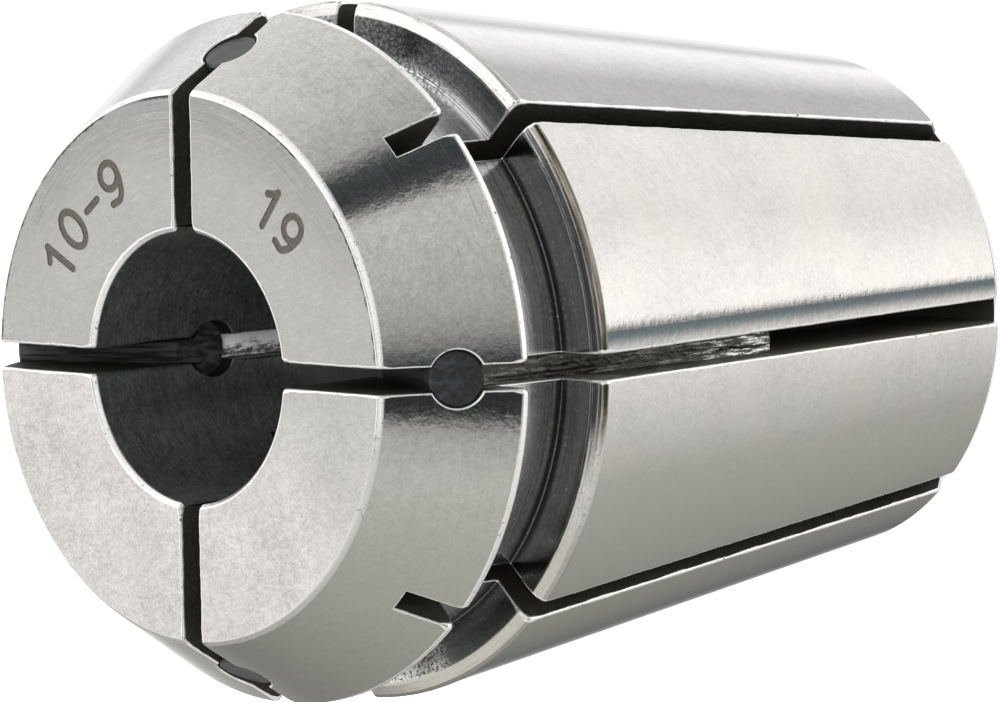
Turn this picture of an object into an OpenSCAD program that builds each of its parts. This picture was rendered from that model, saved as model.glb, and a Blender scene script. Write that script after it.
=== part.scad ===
// Slotted spring collet of the 25 size with a 10 mm bore. The body is turned,
// ground and slotted from one piece of spring steel, and four dark plugs close
// its relief holes.
// It stands on its rear end: z = 0 is the rear end face, the marked front
// face is at the top, and the bore runs along Z. Millimetres.

/* [Body] */
// overall length, rear end to front face
length = 34; // [30:0.5:38]
// largest diameter, at the shoulder of the long taper
shoulder_d = 26; // [25:0.5:27]
// half angle of the long taper, in degrees
taper_deg = 8; // [7:0.5:9]
// height of the shoulder corner where the long taper starts
shoulder_z = 25.2; // [24:0.1:25.3]
// diameter of the bore
bore_d = 10; // [6:0.5:11]
// chamfer around both mouths of the bore
bore_chamfer = 0.22; // [0.1:0.02:0.4]
// chamfer around the rear end
rear_chamfer = 0.5; // [0.2:0.1:1]

/* [Head] */
// diameter of the flat front face
face_d = 20.14; // [19:0.02:21]
// bevel between the front face and the head cone
face_bevel = 0.13; // [0.05:0.01:0.4]
// half angle of the head cone, in degrees
head_deg = 30; // [29:0.5:31]
// height where the head cone ends and the straight rim starts
rim_top_z = 29.35; // [29.2:0.05:29.8]
// height of the rear face of the head, the front side of the groove
rim_bottom_z = 28.95; // [28.6:0.05:29.1]
// break of the rim's rear edge
rim_break = 0.14; // [0.05:0.01:0.2]

/* [Groove] */
// diameter of the groove floor
groove_d = 22; // [21.8:0.1:22.4]
// height of the rear side of the groove
groove_bottom_z = 25.55; // [25.4:0.05:25.8]
// corner radius at both sides of the groove floor
groove_corner = 0.25; // [0.1:0.05:0.4]
// diameter where the shallow lead-in on the shoulder starts
lead_d = 25; // [24.6:0.1:25.4]

/* [Slots] */
// width of all eight slots
slot_w = 0.92; // [0.7:0.02:1.1]
// height of the closed end of the rear slots, on the head cone
rear_slot_end_z = 31.33; // [31:0.05:31.8]
// radius of the arc at the closed end of the rear slots
rear_slot_arc_r = 31.5; // [31:0.5:32]
// distance of that arc's centre from the collet's axis
rear_slot_arc_x = 26.67; // [26.5:0.01:27]

/* [Relief holes] */
// diameter of the relief hole at the end of each front slot
relief_d = 2.12; // [1.6:0.02:2.4]
// height where the hole's axis meets the head cone
relief_z = 31.45; // [31.2:0.05:31.7]
// tilt of the hole's axis from the horizontal, in degrees
relief_tilt = 28; // [20:1:32]

/* [Plugs] */
// radial gap between a plug and its relief hole
plug_gap = 0.01; // [0.005:0.005:0.05]
// depth of a plug's outer end under the head cone, at its middle
plug_set = 0.14; // [0.02:0.02:0.4]
// depth of a plug's inner end behind the bore's wall
plug_inner = 0.45; // [0.1:0.05:2]
// chamfer around the outer end of a plug
plug_edge = 0.08; // [0.02:0.01:0.2]

/* [Webs] */
// height of the rear end of the four webs in the front slot lines
web_bottom_z = 14.1; // [10:0.1:20]
// distance from the axis to the outer face of a web
web_outer_r = 10.5; // [9:0.1:10.8]
// distance from the axis to the inner face of a web
web_inner_r = 5.75; // [5.7:0.05:7]

/* [Hidden] */
$fn = 180;

steel = [0.72, 0.71, 0.69];
dark = [0.07, 0.07, 0.07];
bore_r = bore_d / 2;
shoulder_r = shoulder_d / 2;
face_r = face_d / 2;
groove_r = groove_d / 2;
lead_r = lead_d / 2;
// long taper: radius at the height where the rear chamfer starts
rear_r = shoulder_r - (shoulder_z - rear_chamfer) * tan(taper_deg);
// head cone: it starts under the face bevel and ends at the rim
cone_r0 = face_r + face_bevel;
cone_z0 = length - face_bevel;
rim_r = cone_r0 + (cone_z0 - rim_top_z) * tan(head_deg);
// radius of the cone at the relief hole
relief_r = cone_r0 + (cone_z0 - relief_z) * tan(head_deg);
// small facet between the lead-in and the shoulder corner
lead_top_r = shoulder_r - 0.06;
lead_top_z = shoulder_z + 0.17;
// height of the centre of the rear slots' arc
cone_at_end = cone_r0 + (cone_z0 - rear_slot_end_z) * tan(head_deg);
arc_z = rear_slot_end_z - sqrt(rear_slot_arc_r * rear_slot_arc_r
      - (rear_slot_arc_x - cone_at_end) * (rear_slot_arc_x - cone_at_end));
eps = 0.5;
// plug: radius, and length of the rod that it is made from
plug_r = relief_d / 2 - plug_gap;
plug_len = (relief_r - bore_r + 0.7) / cos(relief_tilt) - plug_set;

// half section of the turned blank, radius across and height up
module section() {
    polygon([
        [bore_r + bore_chamfer, 0],
        [rear_r - rear_chamfer, 0],
        [rear_r, rear_chamfer],
        [shoulder_r, shoulder_z],
        [lead_top_r, lead_top_z],
        [lead_r, groove_bottom_z],
        [groove_r + groove_corner, groove_bottom_z],
        [groove_r + groove_corner * 0.293, groove_bottom_z + groove_corner * 0.293],
        [groove_r, groove_bottom_z + groove_corner],
        [groove_r, rim_bottom_z - groove_corner],
        [groove_r + groove_corner * 0.293, rim_bottom_z - groove_corner * 0.293],
        [groove_r + groove_corner, rim_bottom_z],
        [rim_r - rim_break, rim_bottom_z],
        [rim_r, rim_bottom_z + rim_break],
        [rim_r, rim_top_z],
        [cone_r0, cone_z0],
        [face_r, length],
        [bore_r + bore_chamfer, length],
        [bore_r, length - bore_chamfer],
        [bore_r, bore_chamfer]
    ]);
}

// one of the four rear slots: a disc-shaped saw cut that is open at the rear
// end and runs out in the head cone
module rear_slot() {
    translate([rear_slot_arc_x, 0, arc_z])
        rotate([90, 0, 0])
            cylinder(r = rear_slot_arc_r, h = slot_w, center = true, $fn = 360);
}

// one of the four front slot lines, in the XZ plane on the +X side
module front_slot_line() {
    // open part of the slot, from the relief hole's axis up to the face
    translate([relief_r, 0, relief_z])
        rotate([0, -relief_tilt, 0])
            translate([-12, -slot_w / 2, 0]) cube([24, slot_w, 12]);
    // relief hole, from outside into the bore
    translate([relief_r, 0, relief_z])
        rotate([0, 90 - relief_tilt, 0])
            translate([0, 0, -8.5]) cylinder(d = relief_d, h = 12, $fn = 96);
    // recess over the web, open to the outside
    translate([web_outer_r, -slot_w / 2, web_bottom_z - eps])
        cube([8, slot_w, length - web_bottom_z + 2 * eps]);
    // recess inside the web, open to the bore
    translate([0, -slot_w / 2, web_bottom_z - eps])
        cube([web_inner_r, slot_w, length - web_bottom_z + 2 * eps]);
    // rear part of the slot, cut right through the wall
    translate([0, -slot_w / 2, -eps])
        cube([18, slot_w, web_bottom_z + eps]);
}

// the collet
module collet_body() {
    color(steel)
    difference() {
        rotate_extrude($fn = 360) section();
        for (k = [0 : 3]) {
            rotate([0, 0, 90 * k]) front_slot_line();
            rotate([0, 0, 90 * k + 45]) rear_slot();
        }
    }
}

// one round plug in the relief hole that is turned by a quarter turn k times;
// its inner end follows the round wall of the bore
module plug(k) {
    color(dark)
    rotate([0, 0, 90 * k])
    difference() {
        translate([relief_r, 0, relief_z])
            rotate([0, 90 - relief_tilt, 0])
                translate([0, 0, -plug_set - plug_len])
                    rotate_extrude($fn = 96)
                        polygon([
                            [0, 0],
                            [plug_r, 0],
                            [plug_r, plug_len - plug_edge],
                            [plug_r - plug_edge, plug_len],
                            [0, plug_len]
                        ]);
        translate([0, 0, relief_z - 12])
            cylinder(r = bore_r + plug_inner, h = 20);
    }
}

// plug on the +X side
module seal_plug_1() { plug(0); }
// plug on the +Y side
module seal_plug_2() { plug(1); }
// plug on the -X side
module seal_plug_3() { plug(2); }
// plug on the -Y side
module seal_plug_4() { plug(3); }

collet_body();
seal_plug_1();
seal_plug_2();
seal_plug_3();
seal_plug_4();
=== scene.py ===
import math

import bpy
import numpy as np
from mathutils import Matrix, Vector
from mathutils.geometry import delaunay_2d_cdt


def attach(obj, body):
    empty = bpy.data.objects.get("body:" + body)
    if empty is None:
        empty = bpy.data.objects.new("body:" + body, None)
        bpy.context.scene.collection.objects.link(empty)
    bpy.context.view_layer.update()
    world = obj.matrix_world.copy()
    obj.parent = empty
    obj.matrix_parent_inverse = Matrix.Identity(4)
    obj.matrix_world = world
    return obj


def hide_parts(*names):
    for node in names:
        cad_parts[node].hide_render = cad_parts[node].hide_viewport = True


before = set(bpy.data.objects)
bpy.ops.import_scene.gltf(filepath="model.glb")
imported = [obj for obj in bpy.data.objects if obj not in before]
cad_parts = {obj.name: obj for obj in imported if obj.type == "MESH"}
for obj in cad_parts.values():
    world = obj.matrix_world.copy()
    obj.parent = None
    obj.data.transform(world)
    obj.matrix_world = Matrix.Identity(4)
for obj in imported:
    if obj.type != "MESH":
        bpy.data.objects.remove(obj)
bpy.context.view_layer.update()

scene = bpy.context.scene
MM = 0.001

# ---------------------------------------------------------------- dimensions
# Millimetres, the same as the CAD: z = 0 is the rear end, z = 34 the front face.
H = 0.46                       # half width of every slot
HOLE_R = 1.06                  # relief hole
TILT = math.radians(28)        # tilt of the relief hole's axis
T30 = math.tan(math.radians(30))
CONE_R0, CONE_Z0 = 10.20, 33.87
HOLE_Z = 31.45
HOLE_X = CONE_R0 + (CONE_Z0 - HOLE_Z) * T30
RIM_R = CONE_R0 + (CONE_Z0 - 29.35) * T30
REAR_R = 13.0 - 24.7 * math.tan(math.radians(8))
SLOT_END_Z = 31.33             # closed end of the rear slots, on the head cone
ARC_R, ARC_X = 31.5, 26.67     # disc-shaped cut of the rear slots
ARC_Z = SLOT_END_Z - math.sqrt(ARC_R ** 2 - (ARC_X - (CONE_R0 + (CONE_Z0 - SLOT_END_Z) * T30)) ** 2)
WEB_Z, WEB_OUT, WEB_IN = 14.1, 10.5, 5.75
FACE_Z = 34.0

K = 3                          # steps round every rounded edge
N = 16                         # columns of a surface between two slot lines
M = 3                          # columns in front of a rear slot's closed end
WM = 8                         # columns across half a web

# zones, which are the material slots of the body
FACE, CONE, BODY, GROOVE, EDGE, SLOT, WEB, BORE, MARK, REAR, LEAD, WEB_FACE = range(12)


def unit(v):
    v = np.asarray(v, float)
    return v / np.linalg.norm(v)


def cone_r(z):
    return CONE_R0 + (CONE_Z0 - z) * T30


def smooth01(x):
    x = min(1.0, max(0.0, x))
    return x * x * (3 - 2 * x)


class Shell:
    """Welded vertices, and faces that carry a normal for each corner."""

    def __init__(self):
        self.co, self.index = [], {}
        self.faces, self.normals, self.zones = [], [], []

    def vert(self, p):
        key = (round(p[0] * 1e4), round(p[1] * 1e4), round(p[2] * 1e4))
        if key not in self.index:
            self.index[key] = len(self.co)
            self.co.append((float(p[0]), float(p[1]), float(p[2])))
        return self.index[key]

    def face(self, points, normals, zone):
        ids, kept = [], []
        for p, n in zip(points, normals):
            i = self.vert(p)
            if i in ids:
                continue
            ids.append(i)
            kept.append(unit(n))
        if len(ids) < 3:
            return
        q = np.array([self.co[i] for i in ids])
        area = np.zeros(3)
        for a, b in zip(q, np.roll(q, -1, axis=0)):
            area += np.cross(a, b)
        if np.linalg.norm(area) < 1e-9:
            return
        if float(np.dot(area, np.sum(kept, axis=0))) < 0:
            ids.reverse()
            kept.reverse()
        self.faces.append(ids)
        self.normals.extend(kept)
        self.zones.append(zone)


# ------------------------------------------------------------ turned section
# corners of the turned section (radius, height, length of the rounding on each side)
CORNERS = [
    (5.22, 0.0, 0.05), (REAR_R - 0.5, 0.0, 0.08), (REAR_R, 0.5, 0.08),
    (13.0, 25.2, 0.08), (12.94, 25.37, 0.09), (12.5, 25.55, 0.06),
    (11.0, 25.55, 0.1), (11.0, 28.95, 0.1), (RIM_R - 0.14, 28.95, 0.06),
    (RIM_R, 29.09, 0.06), (RIM_R, 29.35, 0.045), (CONE_R0, CONE_Z0, 0.06),
    (CONE_R0 - 0.13, FACE_Z, 0.06), (5.15, FACE_Z, 0.05), (5.0, 33.85, 0.05), (5.0, 0.22, 0.05),
]
SPAN_ZONE = [REAR, REAR, BODY, LEAD, LEAD, GROOVE, GROOVE, GROOVE, EDGE, EDGE, CONE, EDGE, FACE, EDGE, BORE, EDGE]
# how wide the slots' edges are worn round where they cross a corner of the section
CORNER_B = {1: 0.12, 2: 0.15, 3: 0.17, 4: 0.18, 5: 0.12, 8: 0.20, 9: 0.24, 10: 0.19, 11: 0.13, 12: 0.13, 13: 0.17, 14: 0.17}
S_BODY, S_CONE, S_FACE, S_BORE = 2, 10, 12, 14
# how wide the slots' edges are rounded along each span
SPAN_B = [0.07, 0.09, 0.098, 0.07, 0.06, 0.06, 0.06, 0.06, 0.07, 0.08, 0.075, 0.075, 0.095, 0.12, 0.13, 0.09]
SPAN_ROWS = [6, 1, 72, 1, 2, 6, 8, 6, 1, 1, 0, 1, 30, 1, 0, 1]
HOLE_B = 0.075
BORE_HOLE_B = 0.06
NOTCH_B = 0.055


def corner_arc(i):
    """Points and normals of the rounding at corner i."""
    r, z, c = CORNERS[i]
    v = np.array([r, z])
    before = np.array(CORNERS[i - 1][:2])
    after = np.array(CORNERS[(i + 1) % len(CORNERS)][:2])
    d1, d2 = unit(v - before), unit(after - v)
    n1 = np.array([d1[1], -d1[0]])
    turn = math.atan2(d1[0] * d2[1] - d1[1] * d2[0], float(np.dot(d1, d2)))
    big = c / math.tan(abs(turn) / 2)
    sign = 1.0 if turn > 0 else -1.0
    steps = 5 if turn < 0 else 3
    start = v - d1 * c
    centre = start - n1 * big * sign
    out = []
    for k in range(steps + 1):
        a = turn * k / steps
        n = np.array([n1[0] * math.cos(a) - n1[1] * math.sin(a), n1[0] * math.sin(a) + n1[1] * math.cos(a)])
        out.append((centre + n * big * sign, n))
    return out, turn < 0


# ------------------------------------------------------- relief hole geometry
AX = np.array([math.cos(TILT), 0.0, math.sin(TILT)])
UP = np.array([-math.sin(TILT), 0.0, math.cos(TILT)])
TY = np.array([0.0, 1.0, 0.0])
HO = np.array([HOLE_X, 0.0, HOLE_Z])


def rho(alpha):
    return UP * math.cos(alpha) + TY * math.sin(alpha)


def on_hole(t, alpha):
    return HO + AX * t + rho(alpha) * HOLE_R


def hole_end(alpha, outer):
    """Where the hole's wall meets the head cone, or the bore."""
    lo, hi = (-1.5, 1.5) if outer else (-9.5, -5.0)

    def f(t):
        p = on_hole(t, alpha)
        return math.hypot(p[0], p[1]) - (cone_r(p[2]) if outer else 5.0)

    for _ in range(60):
        mid = (lo + hi) / 2
        if f(mid) > 0:
            hi = mid
        else:
            lo = mid
    return on_hole((lo + hi) / 2, alpha)


def hole_p0(alpha, outer, b):
    """Edge of the rounded rim on the cone or the bore."""
    q = hole_end(alpha, outer) + rho(alpha) * b
    th = math.atan2(q[1], q[0])
    r = cone_r(q[2]) if outer else 5.0
    return np.array([r * math.cos(th), r * math.sin(th), q[2]])


A_SLOT = math.asin(H / HOLE_R)


def fillet(e, m, w, b, p0=None):
    """Points of a rounded edge, from the outer surface to the wall."""
    pts = []
    for k in range(K + 1):
        a = math.pi / 2 * k / K
        pts.append(e + np.asarray(m) * b * (1 - math.sin(a)) + np.asarray(w) * b * (1 - math.cos(a)))
    if p0 is not None:
        pts[0] = np.asarray(p0)
    return pts


# the slot at 45 degrees: u along it from the axis, v away from its middle
C45 = math.sqrt(0.5)


def uv(u, v, z):
    return np.array([(u + v) * C45, (u - v) * C45, z])


VDIR = np.array([C45, -C45, 0.0])
UDIR = np.array([C45, C45, 0.0])


def arc_at(u):
    return ARC_Z + math.sqrt(ARC_R ** 2 - (ARC_X - u) ** 2)


class Row:
    """One line of a surface of revolution from the slot at 0 degrees to the one at 45."""

    def __init__(self, r, z, n):
        self.r, self.z, self.n = r, z, np.asarray(n, float)
        self.left = self.right = None
        self.wall_before = self.wall_after = np.array([0.0, -1.0, 0.0])
        self.alpha = None
        self.open45 = True     # False in front of the rear slot's closed end

    def slot_left(self, b):
        x = math.sqrt(self.r ** 2 - H ** 2)
        e = np.array([x, H, self.z])
        y0 = H + b
        p0 = np.array([math.sqrt(self.r ** 2 - y0 ** 2), y0, self.z])
        n3 = np.array([self.n[0], 0.0, self.n[1]])
        if abs(self.n[1]) > 0.999:      # a face square to the axis
            p0[0] = x
        self.left = fillet(e, TY, -n3, b, p0)

    def slot_right(self, b):
        u = math.sqrt(self.r ** 2 - H ** 2)
        e = uv(u, H, self.z)
        v0 = H + b
        p0 = uv(u if abs(self.n[1]) > 0.999 else math.sqrt(self.r ** 2 - v0 ** 2), v0, self.z)
        n3 = UDIR * self.n[0] + np.array([0.0, 0.0, self.n[1]])
        self.right = fillet(e, VDIR, -n3, b, p0)


def wave(seed):
    """A smooth random line along an edge, from about -1 to 1."""
    rng = np.random.default_rng(seed)
    lengths = [4.7, 2.3, 1.1, 0.62, 0.41]
    amps = [0.4, 0.3, 0.25, 0.25, 0.2]
    phases = rng.uniform(0, 2 * math.pi, 5)
    return lambda s: sum(a * math.sin(2 * math.pi * s / l + p) for a, l, p in zip(amps, lengths, phases))


def build_rows(seed):
    """All rows of one 45 degree sector, in order round the closed section."""
    wl, wr = wave(seed), wave(seed + 100)
    # rim of the relief hole on the cone, and the row of the rear slot's end
    z_notch = SLOT_END_Z + NOTCH_B * math.cos(math.radians(30))
    lo, hi = math.radians(31), math.radians(149)
    for _ in range(60):
        mid = (lo + hi) / 2
        if hole_p0(mid, True, HOLE_B)[2] > z_notch:
            lo = mid
        else:
            hi = mid
    a_notch = (lo + hi) / 2
    first = np.radians(np.linspace(31, math.degrees(a_notch), 11))
    second = np.radians(np.linspace(math.degrees(a_notch), 149, 14))[1:]
    alphas = list(first) + list(second)
    rows, segs, spans = [], [], []
    count = len(CORNERS)
    arcs = [corner_arc(i) for i in range(count)]

    def add(row, zone_after, n_start):
        rows.append(row)
        segs.append([zone_after, n_start, None])

    s_len = 0.0
    for i in range(count):
        arc, concave = arcs[i]
        for k, (p, n) in enumerate(arc):
            row = Row(p[0], p[1], n)
            b0, b1 = SPAN_B[i - 1], SPAN_B[i]
            f = k / (len(arc) - 1)
            row.b = b0 * (1 - f) + b1 * f
            last = k == len(arc) - 1
            zone = SPAN_ZONE[i] if last else (GROOVE if concave else LEAD if i in (3, 4, 5) else EDGE)
            row.kind = ("arc", i)
            rows.append(row)
            segs.append(zone)
            if last:
                spans.append(len(rows) - 1)
        start, end = arc[-1][0], arcs[(i + 1) % count][0][0][0]
        n = arc[-1][1]
        inner = []
        if i == S_CONE:
            c_lo = hole_p0(math.pi - math.asin((H + HOLE_B) / (HOLE_R + HOLE_B)), True, HOLE_B)
            c_hi = hole_p0(math.asin((H + HOLE_B) / (HOLE_R + HOLE_B)), True, HOLE_B)
            z0, z1 = start[1], end[1]
            for z in np.linspace(z0, c_lo[2], 5)[1:-1]:
                inner.append(("slot", z, None))
            inner.append(("lo", c_lo[2], math.pi - A_SLOT))
            for a in reversed(alphas):
                kind = "notch" if a == a_notch or abs(a - a_notch) < 1e-9 else "hole"
                inner.append((kind, hole_p0(a, True, HOLE_B)[2], a))
            inner.append(("hi", c_hi[2], A_SLOT))
            for z in np.linspace(c_hi[2], z1, 7)[1:-1]:
                inner.append(("slot", z, None))
        elif i == S_BORE:
            c_hi = hole_p0(math.asin((H + BORE_HOLE_B) / (HOLE_R + BORE_HOLE_B)), False, BORE_HOLE_B)
            c_lo = hole_p0(math.pi - math.asin((H + BORE_HOLE_B) / (HOLE_R + BORE_HOLE_B)), False, BORE_HOLE_B)
            z0, z1 = start[1], end[1]
            for z in np.linspace(z0, c_hi[2], 12)[1:-1]:
                inner.append(("slot", z, None))
            inner.append(("hi", c_hi[2], A_SLOT))
            for a in alphas:
                inner.append(("hole", hole_p0(a, False, BORE_HOLE_B)[2], a))
            inner.append(("lo", c_lo[2], math.pi - A_SLOT))
            z_arc = arc_at(5.0) - 0.36 + NOTCH_B
            for z in np.linspace(c_lo[2], z_arc, 3)[1:-1]:
                inner.append(("slot", z, None))
            inner.append(("end", z_arc, None))
            for z in np.linspace(z_arc, z1, 30)[1:-1]:
                inner.append(("slot", z, None))
        else:
            m = SPAN_ROWS[i]
            for k in range(1, m):
                p = start + (end - start) * k / m
                inner.append(("plain", p, None))
        for kind, val, a in inner:
            if kind == "plain":
                row = Row(val[0], val[1], n)
            else:
                row = Row(cone_r(val) if i == S_CONE else 5.0, val, n)
            row.b = SPAN_B[i]
            row.kind = (kind, i)
            row.alpha = a
            rows.append(row)
            segs.append(SPAN_ZONE[i])

    # in front of the rear slot's closed end there is no slot at 45 degrees
    j_notch = next(j for j, r in enumerate(rows) if r.kind == ("notch", S_CONE))
    j_arc = next(j for j, r in enumerate(rows) if r.kind == ("end", S_BORE))
    j_hi = next(j for j, r in enumerate(rows) if r.kind == ("hi", S_CONE))
    j_lo = next(j for j, r in enumerate(rows) if r.kind == ("lo", S_CONE))
    b_hi = next(j for j, r in enumerate(rows) if r.kind == ("hi", S_BORE))
    b_lo = next(j for j, r in enumerate(rows) if r.kind == ("lo", S_BORE))
    along, s = [], 0.0
    for j, row in enumerate(rows):
        if j:
            s += math.hypot(row.r - rows[j - 1].r, row.z - rows[j - 1].z)
        along.append(s)
    worn = [(along[j], CORNER_B[r.kind[1]]) for j, r in enumerate(rows) if r.kind[0] == "arc" and r.kind[1] in CORNER_B]
    for j, row in enumerate(rows):
        s = along[j]
        kind, i = row.kind
        amp = 0.3 if i in (S_BODY, S_FACE, S_CONE) else 0.1
        base = row.b
        for s_c, b_c in worn:
            f = math.exp(-((s - s_c) / 0.17) ** 2)
            base = max(base, row.b + (b_c - row.b) * f)
        bl = base * (1 + amp * wl(s))
        br = base * (1 + amp * wr(s))
        if i == S_BORE and kind != "arc":
            d = min(abs(row.z - rows[b_hi].z), abs(row.z - rows[b_lo].z))
            bl = BORE_HOLE_B + (bl - BORE_HOLE_B) * smooth01(d / 0.8)
            br = NOTCH_B + (br - NOTCH_B) * smooth01(abs(row.z - rows[j_arc].z) / 0.8)
        if i == S_CONE and kind != "arc":
            d = min(abs(row.z - rows[j_hi].z), abs(row.z - rows[j_lo].z))
            bl = HOLE_B + (bl - HOLE_B) * smooth01(d / 0.5)
            br = NOTCH_B + (br - NOTCH_B) * smooth01(abs(row.z - rows[j_notch].z) / 0.5)
        outer = i == S_CONE
        hb = HOLE_B if outer else BORE_HOLE_B
        # left edge
        if row.alpha is not None and kind in ("hole", "notch"):
            e = hole_end(row.alpha, outer)
            w = -AX if outer else AX / math.cos(TILT)
            row.left = fillet(e, rho(row.alpha), w, hb, hole_p0(row.alpha, outer, hb))
            row.wall_before = row.wall_after = -rho(row.alpha)
        elif kind in ("hi", "lo"):
            up = kind == "hi"
            side = math.asin((H + hb) / (HOLE_R + hb))
            p0 = hole_p0(side if up else math.pi - side, outer, hb)
            e = hole_end(row.alpha, outer)
            w = -AX / float(np.dot(AX, [math.cos(math.radians(30)), 0, 0.5])) if outer else AX / math.cos(TILT)
            row.left = fillet(e, (p0 - e) / hb, w, hb, p0)
            hole_n = -rho(row.alpha)
            slot_n = np.array([0.0, -1.0, 0.0])
            # the cone's rows climb and the bore's rows go down
            if up == outer:
                row.wall_before, row.wall_after = hole_n, slot_n
            else:
                row.wall_before, row.wall_after = slot_n, hole_n
        else:
            row.slot_left(bl)
        # right edge
        row.open45 = j <= j_notch or j >= j_arc
        if j == j_notch:
            e = uv(math.sqrt(cone_r(SLOT_END_Z) ** 2 - H ** 2), H, SLOT_END_Z)
            t = UDIR * -0.5 + np.array([0, 0, math.cos(math.radians(30))])
            v0 = H + NOTCH_B
            p0 = uv(math.sqrt(row.r ** 2 - v0 ** 2), v0, row.z)
            w = unit(UDIR * -0.879 + np.array([0, 0, -0.476]))
            row.right = fillet(e, VDIR + t, w, NOTCH_B, p0)
        elif j == j_arc:
            z_e = row.z - NOTCH_B
            e = uv(math.sqrt(25.0 - H ** 2), H, z_e)
            v0 = H + NOTCH_B
            p0 = uv(math.sqrt(25.0 - v0 ** 2), v0, row.z)
            w = UDIR + np.array([0, 0, 0.948])
            row.right = fillet(e, VDIR + np.array([0, 0, 1.0]), w, NOTCH_B, p0)
        elif row.open45:
            row.slot_right(br)
        else:
            v0 = H + NOTCH_B
            u0 = row.r if abs(row.n[1]) > 0.999 else math.sqrt(row.r ** 2 - v0 ** 2)
            row.right = [uv(u0, v0, row.z)]
    marks = dict(notch=j_notch, arc=j_arc, hi=j_hi, lo=j_lo, b_hi=b_hi, b_lo=b_lo, spans=spans, a_notch=a_notch, alphas=alphas)
    return rows, segs, marks


def build_sector(shell, turn, mirror, seed):
    """Adds one of the eight sectors, and returns its lines on the front face."""
    ca, sa = math.cos(turn), math.sin(turn)

    def place(p):
        x, y, z = float(p[0]), float(p[1]), float(p[2])
        if mirror:
            y = -y
        return (x * ca - y * sa, x * sa + y * ca, z)

    def face(points, normals, zone):
        shell.face([place(p) for p in points], [place(n) for n in normals], zone)

    rows, segs, mk = build_rows(seed)
    count = len(rows)

    def n3(row, p, n=None):
        n = row.n if n is None else n
        d = math.hypot(p[0], p[1])
        return np.array([n[0] * p[0] / d, n[0] * p[1] / d, n[1]])

    def grid_points(row):
        """Points along a row: N columns to the 45 degree slot."""
        a, b = row.left[0], row.right[0]
        t0, t1 = math.atan2(a[1], a[0]), math.atan2(b[1], b[0])
        pts = [a]
        flat = abs(row.n[1]) > 0.999
        for c in range(1, N):
            t = t0 + (t1 - t0) * c / N
            pts.append(np.array([row.r * math.cos(t), row.r * math.sin(t), row.z]))
        pts.append(b)
        return pts

    def extra_points(row):
        b = row.right[0]
        t1 = math.atan2(b[1], b[0])
        pts = [b]
        for c in range(1, M + 1):
            t = t1 + (math.pi / 4 - t1) * c / M
            pts.append(np.array([row.r * math.cos(t), row.r * math.sin(t), row.z]))
        return pts

    for j in range(count):
        k = (j + 1) % count
        a, b = rows[j], rows[k]
        zone = segs[j]
        edge = BORE if zone == BORE else EDGE
        # rounded edge of the slot at 0 degrees
        for q in range(K):
            f0, f1 = math.pi / 2 * q / K, math.pi / 2 * (q + 1) / K
            pts = [a.left[q], b.left[q], b.left[q + 1], a.left[q + 1]]
            nrm = []
            for row, wall, f in ((a, a.wall_after, f0), (b, b.wall_before, f0), (b, b.wall_before, f1), (a, a.wall_after, f1)):
                p = row.left[0]
                nrm.append(n3(row, p) * math.cos(f) + wall * math.sin(f))
            face(pts, nrm, edge)
        # rounded edge of the slot at 45 degrees
        if a.open45 and b.open45 and not (j == mk["notch"]):
            for q in range(K):
                f0, f1 = math.pi / 2 * q / K, math.pi / 2 * (q + 1) / K
                pts = [a.right[q], b.right[q], b.right[q + 1], a.right[q + 1]]
                nrm = []
                for row, f in ((a, f0), (b, f0), (b, f1), (a, f1)):
                    p = row.right[0]
                    nrm.append(n3(row, p) * math.cos(f) - VDIR * math.sin(f))
                face(pts, nrm, edge)
        # the surface itself
        in_face = mk["spans"][S_FACE] <= j and b.kind[1] in (S_FACE, S_FACE + 1) and segs[j] == FACE
        if in_face:
            continue
        pa, pb = grid_points(a), grid_points(b)
        for c in range(N):
            pts = [pa[c], pa[c + 1], pb[c + 1], pb[c]]
            face(pts, [n3(a, pa[c]), n3(a, pa[c + 1]), n3(b, pb[c + 1]), n3(b, pb[c])], zone)
        if mk["notch"] <= j < mk["arc"]:
            pa, pb = extra_points(a), extra_points(b)
            if j == mk["notch"]:
                pa = end_p0(rows[j], True)
            if k == mk["arc"]:
                pb = end_p0(rows[k], False)
            for c in range(M):
                pts = [pa[c], pa[c + 1], pb[c + 1], pb[c]]
                face(pts, [n3(a, pa[c]), n3(a, pa[c + 1]), n3(b, pb[c + 1]), n3(b, pb[c])], zone)

    # closed end of the rear slot: its two rounded ends and the disc-cut surface
    v_list = [H + NOTCH_B] + [H * (1 - c / M) for c in range(1, M + 1)]
    ends = {}
    for outer in (True, False):
        row = rows[mk["notch"] if outer else mk["arc"]]
        cols = [row.right]
        for v in [H * (1 - c / M) for c in range(1, M + 1)]:
            cols.append(end_column(row, v, outer))
        ends[outer] = cols
        wall_n = unit(UDIR * (0.476 if outer else 0.688) + np.array([0, 0, -0.879 if outer else -0.726]))
        for c in range(M):
            for q in range(K):
                f0, f1 = math.pi / 2 * q / K, math.pi / 2 * (q + 1) / K
                pts = [cols[c][q], cols[c + 1][q], cols[c + 1][q + 1], cols[c][q + 1]]
                nrm = []
                for cc, f in ((c, f0), (c + 1, f0), (c + 1, f1), (c, f1)):
                    nrm.append(n3(row, cols[cc][0]) * math.cos(f) + wall_n * math.sin(f))
                face(pts, nrm, EDGE if outer else BORE)
    Q = 16
    lines = []
    for c in range(M + 1):
        p, q = ends[True][c][K], ends[False][c][K]
        u0, u1 = float(np.dot(p, UDIR)), float(np.dot(q, UDIR))
        v = H * (1 - c / M)
        d0, d1 = p[2] - arc_at(u0), q[2] - arc_at(u1)
        line = []
        for s in range(Q + 1):
            f = s / Q
            u = u0 + (u1 - u0) * f
            line.append(uv(u, v, arc_at(u) + d0 * (1 - f) + d1 * f))
        line[0], line[-1] = p, q
        lines.append(line)

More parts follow.
